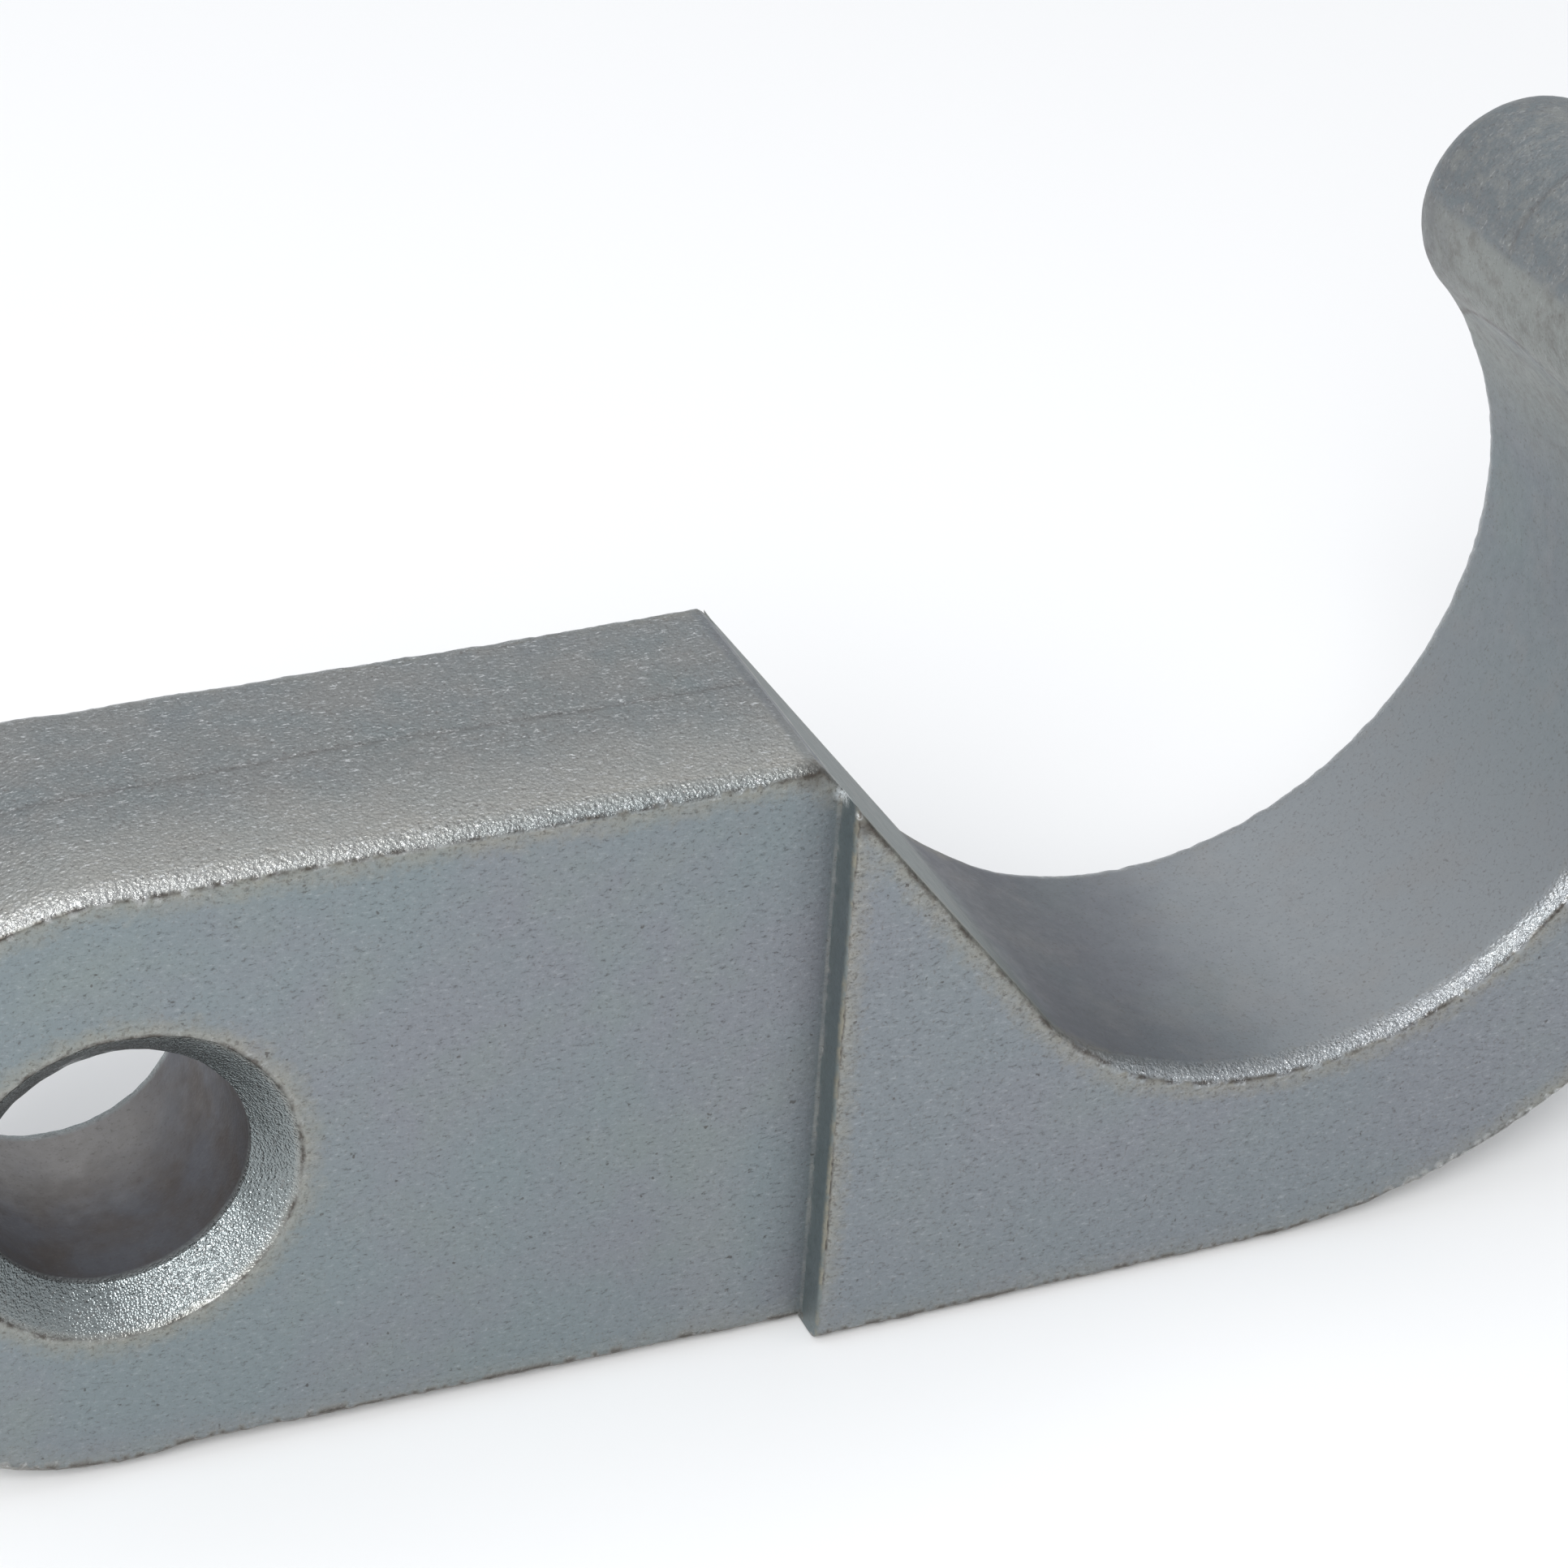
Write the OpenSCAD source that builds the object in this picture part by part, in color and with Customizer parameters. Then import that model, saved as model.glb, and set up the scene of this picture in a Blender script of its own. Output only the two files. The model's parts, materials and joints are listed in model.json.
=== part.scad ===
// Cleat horn: a one-piece drop forging. A flat shank with a round bolt eye at one end
// grows thicker at a milled shoulder and sweeps round an open seat to a rounded tip.
// The origin is the centre of the bolt hole. X runs from the eye towards the horn,
// Y runs along the bolt hole, and Z points up, the way the seat opens.

/* [Eye] */
// Diameter of the bolt hole
bore_d = 13; // [11:0.1:15]
// Diameter of the countersunk mouth of the bolt hole
mouth_d = 16.8; // [15.5:0.1:20]
// Depth of the countersunk mouth on each side
mouth_depth = 1.8; // [0.5:0.1:3]
// Radius of the rounded eye end
eye_r = 16.35; // [15.8:0.05:16.6]

/* [Shank] */
// Thickness of the flat shank
shank_t = 15.6; // [12:0.1:16.8]
// Height of the shank's top edge above the centre of the bolt hole
top_z = 16.3; // [15.5:0.1:17]
// Distance from the bolt hole to the shoulder
shoulder_x = 34.4; // [34:0.1:37]
// Angle at which the lower edge of the shank tapers towards the eye
taper_angle = 0.95; // [0.2:0.05:1.3]

/* [Horn] */
// Height by which the horn stands proud of each face of the shank
step = 1.85; // [0.5:0.05:3]
// Thickness of the horn's wall around the seat
wall = 11.5; // [11:0.1:13]
// Radius of the seat
seat_r = 19.65; // [19.3:0.05:21]
// Distance of the seat's centre from the bolt hole
seat_x = 59.05; // [58.5:0.05:59.4]
// Height of the seat's centre above the bolt hole
seat_z = 14.55; // [14:0.05:15.5]
// Angle above the horizontal at which the rounded tip starts
tip_angle = 44; // [20:1:60]
// Height by which the round tip stands proud of the wall
tip_bulge = 0.05; // [0.03:0.01:0.3]

/* [Ramp] */
// Distance from the bolt hole to the top of the ramp
ramp_x = 33.3; // [33:0.05:33.8]
// Steepness of the ramp below the horizontal
ramp_angle = 52.2; // [52.2:0.1:52.4]

/* [Edges] */
// Radius along the long edges of the forging
edge_r = 0.9; // [0.3:0.1:1.5]

/* [Hidden] */
$fn = 120;
horn_t = shank_t + 2 * step;
bottom_z = seat_z - seat_r - wall;
// How far a cutter runs past the face that it cuts
over = 1;
// Larger than the whole forging, for the cutters of the open side
big = 120;

// The ramp is a straight line from ramp_top. It crosses the seat's circle twice, half a
// chord either side of the point nearest to the seat's centre.
ramp_top = [ramp_x, top_z];
ramp_dir = [cos(ramp_angle), -sin(ramp_angle)];
to_seat = [seat_x - ramp_x, seat_z - top_z];
ramp_to_middle = to_seat * ramp_dir;
middle_z = top_z + ramp_to_middle * ramp_dir[1];

// The tip's centre lies on the middle of the wall.
tip_r = seat_r + wall / 2;
tip_x = seat_x + tip_r * cos(tip_angle);
tip_z = seat_z + tip_r * sin(tip_angle);

// The corners of a rectangle, w by t, centred on the origin and rounded.
module bar_section(w, t) {
    square([w, t - 2 * edge_r], center = true);
    square([w - 2 * edge_r, t], center = true);
    for (x = [-1, 1], y = [-1, 1])
        translate([x * (w / 2 - edge_r), y * (t / 2 - edge_r)]) circle(edge_r);
}

// A round disc across Y with rounded rims.
module disc(r, t) {
    rotate([90, 0, 0]) rotate_extrude() intersection() {
        bar_section(2 * r, t);
        translate([0, -t]) square([2 * r, 2 * t]);
    }
}

// Cuts a plate t thick down to a straight side and rounds both edges of that side. The
// side starts at the [x, z] point p and runs along angle, with the material on its right.
// The cutter reaches up to height above the side.
module trim(p, angle, len, t, height = 2 * over) {
    translate([p[0], 0, p[1]]) rotate([0, -angle, 0]) rotate([90, 0, 90])
        translate([0, 0, -over]) linear_extrude(len + 2 * over) difference() {
            translate([-t / 2 - over, -edge_r]) square([t + 2 * over, edge_r + height]);
            translate([0, -t / 2]) bar_section(t, t);
        }
}

module shank() {
    disc(eye_r, shank_t);
    difference() {
        translate([0, -shank_t / 2, bottom_z - over])
            cube([shoulder_x, shank_t, top_z - bottom_z + 2 * over]);
        trim([0, top_z], 0, shoulder_x, shank_t);
        trim([shoulder_x, bottom_z], 180 - taper_angle, shoulder_x, shank_t);
        // the corner above the ramp
        translate([ramp_x, -big / 2, top_z]) rotate([0, ramp_angle, 0])
            translate([-big / 2, 0, 0]) cube(big);
    }
}

// Everything inside the seat's circle, flared at both cheeks to round the seat's edges.
module seat_cutter() {
    flare = seat_r + edge_r;
    translate([seat_x, 0, seat_z]) rotate([90, 0, 0]) rotate_extrude() difference() {
        translate([0, -horn_t / 2 - over]) square([flare, horn_t + 2 * over]);
        translate([seat_r + horn_t / 2, 0]) bar_section(horn_t, horn_t);
    }
}

// The thick block below the ramp and the seat, from the shoulder to the seat's middle
module heel() {
    difference() {
        translate([shoulder_x, -horn_t / 2, bottom_z - over])
            cube([seat_x - shoulder_x, horn_t, top_z - bottom_z]);
        trim([seat_x, bottom_z], 180, seat_x - shoulder_x, horn_t);
        intersection() {
            trim(ramp_top, -ramp_angle, big, horn_t, big);
            union() {
                seat_cutter();
                translate([0, -big / 2, middle_z]) cube(big);
            }
        }
    }
}

// The wall that sweeps round the seat from its lowest point to the tip
module arm() {
    translate([seat_x, 0, seat_z]) rotate([90, 0, 0]) rotate([0, 0, -90])
        rotate_extrude(angle = 90 + tip_angle)
        translate([tip_r, 0]) bar_section(wall, horn_t);
}

module tip() {
    translate([tip_x, 0, tip_z]) disc(wall / 2 + tip_bulge, horn_t);
}

module bolt_hole() {
    rotate([90, 0, 0]) cylinder(h = shank_t + 2 * over, d = bore_d, center = true);
    // each mouth carries on past the cheek at the same slope
    spread = (mouth_d - bore_d) / mouth_depth * over;
    for (side = [-1, 1])
        rotate([side * 90, 0, 0]) translate([0, 0, shank_t / 2 - mouth_depth])
            cylinder(h = mouth_depth + over, d1 = bore_d, d2 = mouth_d + spread);
}

module horn_forging() color("lightslategray") {
    difference() {
        union() {
            shank();
            heel();
            arm();
            tip();
        }
        bolt_hole();
    }
}

horn_forging();
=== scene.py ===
"""The looks of a one-piece forged cleat horn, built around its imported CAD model.

The forging is one detailed mesh that stands for the CAD node. Its side outline is a chain
of lines and arcs. The rim is swept along that outline, the cheeks are filled between the
rims, and noise then moves the surface the way die forging, shot blasting and machining do.
Lengths are in millimetres until the mesh is written, in metres, in the CAD's own frame.
"""

import json
import math
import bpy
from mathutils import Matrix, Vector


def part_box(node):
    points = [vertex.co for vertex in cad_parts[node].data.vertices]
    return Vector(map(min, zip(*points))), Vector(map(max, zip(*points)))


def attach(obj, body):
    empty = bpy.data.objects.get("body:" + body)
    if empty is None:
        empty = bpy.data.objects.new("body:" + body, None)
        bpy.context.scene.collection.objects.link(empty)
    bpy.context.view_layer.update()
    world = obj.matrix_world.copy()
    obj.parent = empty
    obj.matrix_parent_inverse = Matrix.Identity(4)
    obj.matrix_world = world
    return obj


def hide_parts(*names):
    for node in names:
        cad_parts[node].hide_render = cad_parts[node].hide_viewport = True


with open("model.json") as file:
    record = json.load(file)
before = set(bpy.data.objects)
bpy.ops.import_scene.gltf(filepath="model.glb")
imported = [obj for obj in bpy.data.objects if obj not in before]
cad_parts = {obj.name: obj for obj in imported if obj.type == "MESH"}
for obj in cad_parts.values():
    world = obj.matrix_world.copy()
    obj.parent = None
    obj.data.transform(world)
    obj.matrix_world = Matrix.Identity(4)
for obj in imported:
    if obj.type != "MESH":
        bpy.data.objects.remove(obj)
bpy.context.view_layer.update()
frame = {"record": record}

from types import SimpleNamespace

import bmesh
import bpy
import numpy as np
from mathutils import Matrix, Vector, noise
from mathutils.geometry import delaunay_2d_cdt

MM = 0.001
NODE = "horn_forging"
SLOT = "zinc_plated_forging"

# ---------------------------------------------------------------- sizes from the frame
LOW, HIGH = (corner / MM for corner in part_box(NODE))
MOUNTS = {mount["name"]: mount for mount in frame["record"]["mounts"]}
BORE_R = MOUNTS["bolt_eye"]["dims"]["r_mm"]
SHANK_HALF = abs(MOUNTS["cheek_front"]["pos_m"][1]) / MM
HORN_HALF = HIGH.y
EYE_R = -LOW.x
BOTTOM_Z = LOW.z

# ---------------------------------------------------------------- sizes of the forging
WALL = 11.5                     # thickness of the wall round the seat
SEAT_R = 19.65
SEAT = np.array([HIGH.x - SEAT_R - WALL, BOTTOM_Z + SEAT_R + WALL])
TIP_ANGLE = 44.0
TOP_Z = 16.3
SHOULDER_X = 34.4
TAPER = 0.95                    # degrees, of the shank's lower edge
RAMP_TOP = np.array([33.3, TOP_Z])
RAMP_ANGLE = 52.2
CROWN = 0.16                    # height of the slight crown of the forged upper faces
MOUTH_R = 8.4
MOUTH_DEPTH = 1.8
CORNER_R = 0.8                  # rounding where the top meets the ramp

# radii of the long edges
TOP_EDGE = 1.15
LOW_EDGE = 1.1
OUTER_EDGE = 1.2                # of the wall round the seat
TIP_EDGE = 2.9                  # of the larger forged rounding round the tip
RAMP_EDGE = 0.3                 # of the milled ramp
SHOULDER_EDGE = 0.25            # of the ramp where it meets the shoulder

# ---------------------------------------------------------------- mesh spacing
STEP = 0.3                      # along the outline
BAND_STEPS = 6                  # rows in each rounded edge
BAND_ANGLE = 62.0               # the milled cheek cuts each rounding short of 90 degrees
SIDE_ROWS = 11                  # rows between a rounded edge and the parting line
EXTRA_ROWS = 3                  # further rows on the horn, which is thicker
SHARED_HALF = 6.2               # half the width of the other rows, between tip and seat
PARTING_ROWS = (-0.34, -0.13, 0.0, 0.13, 0.34)
WORN_ROWS = np.array([0.09, 0.19, 0.31, 0.44, 0.6])     # distances from a shoulder's corner
FINE, COARSE = 0.34, 0.72       # spacing of the points that fill the cheeks
MOUTH_ROWS, BORE_ROWS = 8, 22
BORE_POINTS = 150
MERGE = 0.004                   # points closer than this are one
SHARP = 24                      # degrees, above which an edge is shaded sharp

# ---------------------------------------------------------------- the tip's lip
CREASE_ANGLE = 46.5             # round the seat, of the crease at which the milling starts
CREASE_BOW = 10.0 / 8 ** 2      # degrees by which the crease bows, per square millimetre
CREASE_WIDTH = 0.22
LIP_ANGLES = (165, 171)         # round the tip, between which the lip fades in
# round the tip, the angle and width of the band of painted shade above the lip's ridge
RIDGE_ANGLE, RIDGE_WIDTH = 158, 8

# ---------------------------------------------------------------- unevenness
# size and seed of the noises that move the surface, from broad to fine
NOISES = ((9.0, 1.3), (2.4, 4.1), (0.85, 8.6), (0.45, 2.9))
# how far each of them moves each kind of surface
FORGED_MOVES = (0.035, 0.015, 0.012, 0.01)
BAND_MOVES = (0, 0.02, 0.045, 0.05)
MOUTH_MOVES = (0, 0.02, 0.03, 0.02)
MILLED_MOVES = (0.01, 0, 0, 0)
LIP_CALM = 0.8                  # share of that movement that the lip goes without
LIP_SWELL = 0.02
PARTING_DEPTH, PARTING_RANGE = 0.035, 0.05
LOWER_CALM = 0.15               # the lower edges are this much as ragged as the upper ones
WEAR = 0.42                     # radius to which the shoulder's outer edge has worn
END_FADE = 2.0                  # raggedness fades in over this length from the shoulder
MOUTH_RANGE = 0.1               # unevenness of the mouths' rims


# ================================================================ outline
def unit(angle):
    """The [x, z] direction at an angle in degrees."""
    return np.array([math.cos(math.radians(angle)), math.sin(math.radians(angle))])


def angle_of(vector):
    return math.degrees(math.atan2(vector[1], vector[0]))


def stretch(points, normals, edge, forged):
    """One stretch of the outline. edge lists (share of its length, radius of its edges)."""
    share = np.linspace(0, 1, len(points))
    radius = np.interp(share, [e[0] for e in edge], [e[1] for e in edge])
    return {"p": points, "n": normals, "edge": radius,
            "forged": np.full(len(points), float(forged))}


def line(start, end, edge, forged):
    start, end = np.asarray(start), np.asarray(end)
    length = np.linalg.norm(end - start)
    share = np.linspace(0, 1, max(2, round(length / STEP) + 1))[:, None]
    along = (end - start) / length
    points = start + share * (end - start)
    normals = np.tile([along[1], -along[0]], (len(points), 1))
    return stretch(points, normals, edge, forged)


def arc(centre, radius, first, last, edge, forged):
    """An arc from angle first to last. A clockwise one is a hollow, such as the seat."""
    length = abs(math.radians(last - first)) * radius
    angles = np.radians(np.linspace(first, last, max(2, round(length / STEP) + 1)))
    out = np.stack([np.cos(angles), np.sin(angles)], 1)
    return stretch(centre + radius * out, out if last > first else -out, edge, forged)


def chain(stretches):
    """Joins stretches end to end, and shares each joint's normal between its two sides."""
    joined = {key: value.copy() for key, value in stretches[0].items()}
    for part in stretches[1:]:
        joined["n"][-1] += part["n"][0]
        joined["n"][-1] /= np.linalg.norm(joined["n"][-1])
        for key in joined:
            joined[key] = np.concatenate([joined[key], part[key][1:]])
    return joined


def crossings(point, direction, centre, radius):
    """Distances along a line at which it crosses a circle, nearest first."""
    to_centre = centre - point
    along = to_centre @ direction
    half = math.sqrt(radius ** 2 - to_centre @ to_centre + along ** 2)
    return along - half, along + half


RAMP_DOWN = unit(-RAMP_ANGLE)
SHOULDER_TOP = RAMP_TOP + RAMP_DOWN * (SHOULDER_X - RAMP_TOP[0]) / RAMP_DOWN[0]
SHOULDER_FOOT = np.array([SHOULDER_X, BOTTOM_Z])
TIP = SEAT + (SEAT_R + WALL / 2) * unit(TIP_ANGLE)


def shank_outline():
    """From the shoulder's top round the eye to its bottom, anticlockwise from the front,
    with the material on the left."""
    origin = np.zeros(2)
    cut = CORNER_R * math.tan(math.radians(RAMP_ANGLE / 2))
    corner = RAMP_TOP + np.array([-cut, -CORNER_R])
    eye_top = angle_of([math.sqrt(EYE_R ** 2 - TOP_Z ** 2), TOP_Z])
    back = unit(180 - TAPER)
    eye_foot = SHOULDER_FOOT + back * crossings(SHOULDER_FOOT, back, origin, EYE_R)[0]
    return chain([
        line(SHOULDER_TOP, RAMP_TOP + RAMP_DOWN * cut, [(0, SHOULDER_EDGE), (1, RAMP_EDGE)], 0),
        arc(corner, CORNER_R, 90 - RAMP_ANGLE, 90, [(0, RAMP_EDGE), (1, 0.65)], 0.5),
        line([RAMP_TOP[0] - cut, TOP_Z], EYE_R * unit(eye_top),
             [(0, 0.65), (0.07, 0.85), (0.25, 1.05), (1, TOP_EDGE)], 1),
        arc(origin, EYE_R, eye_top, angle_of(eye_foot) + 360, [(0, TOP_EDGE), (1, TOP_EDGE)], 1),
        line(eye_foot, SHOULDER_FOOT, [(0, TOP_EDGE), (1, LOW_EDGE)], 1),
    ])


def horn_outline():
    """From the shoulder's bottom round the tip and the seat to the shoulder's top."""
    ramp_foot = RAMP_TOP + RAMP_DOWN * crossings(RAMP_TOP, RAMP_DOWN, SEAT, SEAT_R)[1]
    return chain([
        line(SHOULDER_FOOT, [SEAT[0], BOTTOM_Z], [(0, LOW_EDGE), (1, LOW_EDGE)], 1),
        arc(SEAT, SEAT_R + WALL, -90, TIP_ANGLE,
            [(0, LOW_EDGE), (0.85, OUTER_EDGE), (1, TIP_EDGE)], 1),
        arc(TIP, WALL / 2, TIP_ANGLE, TIP_ANGLE + 180, [(0, TIP_EDGE), (1, TIP_EDGE)], 1),
        arc(SEAT, SEAT_R, TIP_ANGLE, angle_of(ramp_foot - SEAT),
            [(0, TIP_EDGE), (0.09, 1.3), (0.9, OUTER_EDGE), (0.95, 0.5), (1, RAMP_EDGE)], 0),
        line(ramp_foot, SHOULDER_TOP, [(0, RAMP_EDGE), (1, SHOULDER_EDGE)], 0),
    ])


def wave(at, size, seed):
    """Smooth noise from -1 to 1 along a row of numbers, with bumps about size long."""
    return np.array([noise.noise(Vector((a / size, seed, 0.5 * seed))) for a in at])


def unsettle(outline, seed):
    """Makes an outline's edges ragged and lets its parting line wander."""
    faces_down = outline["n"][:, 1] < -0.3
    calm = np.where(faces_down, LOWER_CALM, 1.0)
    run = np.cumsum(np.r_[0, np.linalg.norm(np.diff(outline["p"], axis=0), axis=1)])
    ends = np.clip(np.minimum(run, run[-1] - run) / END_FADE, 0, 1)
    ragged = 0.08 * wave(run, 1.6, seed) + 0.11 * wave(run, 0.6, seed + 2)
    # the sharp milled edges and the tip's large ones are the least ragged
    by_radius = np.interp(outline["edge"], [0.3, 1.0, 1.5, 2.5], [0.1, 1, 1, 0])
    outline["edge"] = outline["edge"] + ragged * ends * calm * by_radius
    outline["parting"] = ends * (0.5 * wave(run, 14.0, seed + 5) + 0.12 * wave(run, 2.5, seed))
    outline["share"] = run / run[-1]
    return outline


# ================================================================ patches
class Skin:
    """Collects patches of points in [x, y, z] with their faces and masks."""

    MASKS = ("forged", "band", "seat", "mouth", "bore", "shoulder", "parting", "edge", "lip",
             "crease", "ridge")

    def __init__(self):
        self.points, self.faces = [], []
        self.masks = {name: [] for name in self.MASKS}
        self.count = 0

    def add(self, points, faces, **masks):
        points = np.asarray(points, float).reshape(-1, 3)
        self.points.append(points)
        self.faces += [tuple(i + self.count for i in face) for face in faces]
        for name, stored in self.masks.items():
            mask = np.ravel(masks.get(name, 0.0)).astype(float)
            stored.append(np.broadcast_to(mask, len(points)))
        self.count += len(points)


def grid_faces(rows, columns):
    """Quads of a grid whose points are listed row by row."""
    starts = [r * columns + c for r in range(rows - 1) for c in range(columns - 1)]
    return [(i, i + 1, i + columns + 1, i + columns) for i in starts]


def grid_points(first, second):
    """Every pair of a value from first and a value from second."""
    return np.stack(np.meshgrid(first, second, indexing="ij"), -1).reshape(-1, 2)


def inward(outline):
    """The way that the edges of each sample are set in. The two end samples stay in the
    shoulder's own plane."""
    way = -outline["n"]
    for end in (0, -1):
        way[end] = [0, -1 / outline["n"][end][1]]
    return way


def section(outline, half, middle):
    """Points across the rim for each sample of an outline, from the front cheek's edge to
    the back one's: (samples, rows, 3). middle is half the width, at each sample, of the
    rows that both outlines share."""
    radius = outline["edge"][:, None]
    angles = np.radians(np.linspace(BAND_ANGLE, 0, BAND_STEPS + 1))
    set_in = radius * (1 - np.cos(angles))
    front = radius * (math.sin(math.radians(BAND_ANGLE)) - np.sin(angles)) - half
    rim = -front[:, -1:]
    middle = middle[:, None]
    extra = np.linspace(1, 0, EXTRA_ROWS + 2)[1:]
    if np.allclose(rim, middle):
        extra = extra[:0]
    between = -(middle + (rim - middle) * extra)
    group = outline["parting"][:, None] + np.array(PARTING_ROWS)
    share = np.arange(1, SIDE_ROWS) / SIDE_ROWS
    left = -middle + (group[:, :1] + middle) * share
    right = group[:, -1:] + (middle - group[:, -1:]) * share
    y = np.concatenate([front, between, left, group, right, -between[:, ::-1],
                        -front[:, ::-1]], 1)
    flat = np.zeros((len(y), y.shape[1] - 2 * front.shape[1]))
    u = np.concatenate([set_in, flat, set_in[:, ::-1]], 1)
    upper = outline["forged"] * np.clip(outline["n"][:, 1], 0, 1)
    u = u - CROWN * upper[:, None] * (1 - (y / SHANK_HALF) ** 2)
    side = outline["p"][:, None, :] + u[..., None] * inward(outline)[:, None, :]
    return np.stack([side[..., 0], y, side[..., 1]], -1)


def from_ends(points):
    """Distance of each point of a grid to the nearer end of its own row."""
    return np.minimum(np.linalg.norm(points - points[:, :1], axis=2),
                      np.linalg.norm(points - points[:, -1:], axis=2))


def add_rim(skin, outline, points):
    """The rim of one outline. Its band mask follows the rounded edges, and fades on the
    sharp milled edges and the tip's large ones."""
    samples, rows = points.shape[:2]
    across = np.zeros(rows)
    fade = np.linspace(1, 0, BAND_STEPS + 1) ** 0.7
    across[:BAND_STEPS + 1], across[-BAND_STEPS - 1:] = fade, fade[::-1]
    parting = np.zeros(rows)
    parting[rows // 2 - 1:rows // 2 + 2] = (0.5, 1, 0.5)
    by_radius = np.interp(outline["edge"], [0.25, 0.6, 1.0, 1.5, 2.2], [0.1, 0.6, 1, 1, 0.1])
    band = by_radius[:, None] * across
    forged = outline["forged"][:, None]
    skin.add(points, grid_faces(samples, rows), forged=forged * np.ones(rows), band=band,
             seat=outline["seat"][:, None] * (1 - band), parting=forged * parting,
             edge=from_ends(points))


def nearest(points, loop, closed=True):
    """Distance from each 2D point to a loop, and whether it lies inside."""
    best = np.full(len(points), np.inf)
    inside = np.zeros(len(points), bool)
    ends = np.roll(loop, -1, 0) if closed else loop[1:]
    for a, b in zip(loop, ends):
        along = b - a
        share = np.clip((points - a) @ along / max(along @ along, 1e-12), 0, 1)
        gap = points - a - share[:, None] * along
        best = np.minimum(best, (gap ** 2).sum(1))
        if a[1] != b[1]:
            spans = (a[1] > points[:, 1]) != (b[1] > points[:, 1])
            at = a[0] + (points[:, 1] - a[1]) * along[0] / along[1]
            inside ^= spans & (points[:, 0] < at)
    return np.sqrt(best), inside


def region(points, outer, hole=None):
    """Distance from each 2D point to the nearer loop, and whether it lies between them."""
    gap, inside = nearest(points, outer)
    if hole is not None:
        hole_gap, in_hole = nearest(points, hole)
        gap, inside = np.minimum(gap, hole_gap), inside & ~in_hole
    return gap, inside


def lattice(low, high, spacing):
    """Points of a triangular lattice in a rectangle."""
    rows = np.arange(low[1], high[1], spacing * math.sqrt(3) / 2)
    columns = np.arange(low[0], high[0], spacing)
    shift = (np.arange(len(rows)) % 2)[:, None] * spacing / 2
    x = columns[None, :] + shift
    return np.stack([x, np.broadcast_to(rows[:, None], x.shape)], -1).reshape(-1, 2)


def fill(outer, hole=None, fine=FINE, coarse=COARSE, reach=1.0, given=()):
    """Triangles between a loop and a hole in it: fine within reach of both and coarse
    beyond. Points of given that lie inside are used as they are. Returns the 2D points,
    the triangles and each point's distance to the edge."""
    low, high = outer.min(0), outer.max(0)
    sets = []
    for spacing, near, far in ((fine, 0.55 * fine, reach), (coarse, reach, np.inf)):
        points = lattice(low, high, spacing)
        gap, inside = region(points, outer, hole)
        sets.append(points[inside & (gap > near) & (gap <= far)])
    if len(given):
        gap, inside = nearest(given, outer)
        rows = given[inside & (gap > 0.05)]
        # the lattice keeps clear of the given rows
        sets = [s[np.abs(s[:, None, 0] - np.unique(rows[:, 0])).min(1) > 0.12] for s in sets]
        sets.append(rows)
    loops = [outer] if hole is None else [outer, hole]
    edges, start = [], 0
    for loop in loops:
        edges += [(start + i, start + (i + 1) % len(loop)) for i in range(len(loop))]
        start += len(loop)
    points = [Vector(p) for p in np.concatenate(loops + sets)]
    found = delaunay_2d_cdt(points, edges, [], 0, 1e-7)
    flat = np.array([tuple(v) for v in found[0]])
    faces = np.array([f for f in found[2] if len(f) == 3])
    keep = region(flat[faces].mean(1), outer, hole)[1]
    return flat, [tuple(f) for f in faces[keep]], region(flat, outer, hole)[0]


def rows_between(low, high):
    """Values STEP apart strictly between low and high."""
    count = max(1, round((high - low) / STEP))
    return np.linspace(low, high, count + 1)[1:-1]


def mouth_rim(angles):
    """Radius of the as-forged mouth of the bolt hole where the milled cheek cuts it."""
    bumps = [noise.noise(Vector((3 * math.cos(a), 3 * math.sin(a), 7))) for a in angles]
    return MOUTH_R + MOUTH_RANGE * np.array(bumps)


def add_cheek_pair(skin, flat, faces, half, **masks):
    for side in (-1, 1):
        points = np.stack([flat[:, 0], np.full(len(flat), side * half), flat[:, 1]], 1)
        skin.add(points, faces, **masks)


def add_shank_cheeks(skin, shank):
    """The milled cheeks of the shank, front and back, round the bolt hole."""
    z = rows_between(shank[-1, 0, 2], shank[0, 0, 2])
    wall = np.stack([np.full(len(z), SHOULDER_X), z], 1)
    rim = shank[:, 0][:, [0, 2]]
    angles = np.linspace(0, 2 * math.pi, BORE_POINTS, endpoint=False)
    hole = mouth_rim(angles)[:, None] * np.stack([np.cos(angles), np.sin(angles)], 1)
    flat, faces, _ = fill(np.concatenate([rim, wall]), hole)
    from_hole = nearest(flat, hole)[0]
    edge = np.minimum(nearest(flat, rim, closed=False)[0], from_hole)
    at_mouth = 0.5 * (from_hole < 0.01)
    add_cheek_pair(skin, flat, faces, SHANK_HALF, edge=edge, mouth=at_mouth, forged=at_mouth)


def add_horn_cheeks(skin, horn):
    """The milled cheeks of the horn, front and back."""
    z = rows_between(horn[0, 0, 2], horn[-1, 0, 2])
    wall = np.stack([np.full(len(z), SHOULDER_X), z[::-1]], 1)
    loop = np.concatenate([horn[:, 0][:, [0, 2]], wall])
    flat, faces, gap = fill(loop, given=grid_points(SHOULDER_X + WORN_ROWS, z))
    add_cheek_pair(skin, flat, faces, HORN_HALF, edge=gap)


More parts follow.
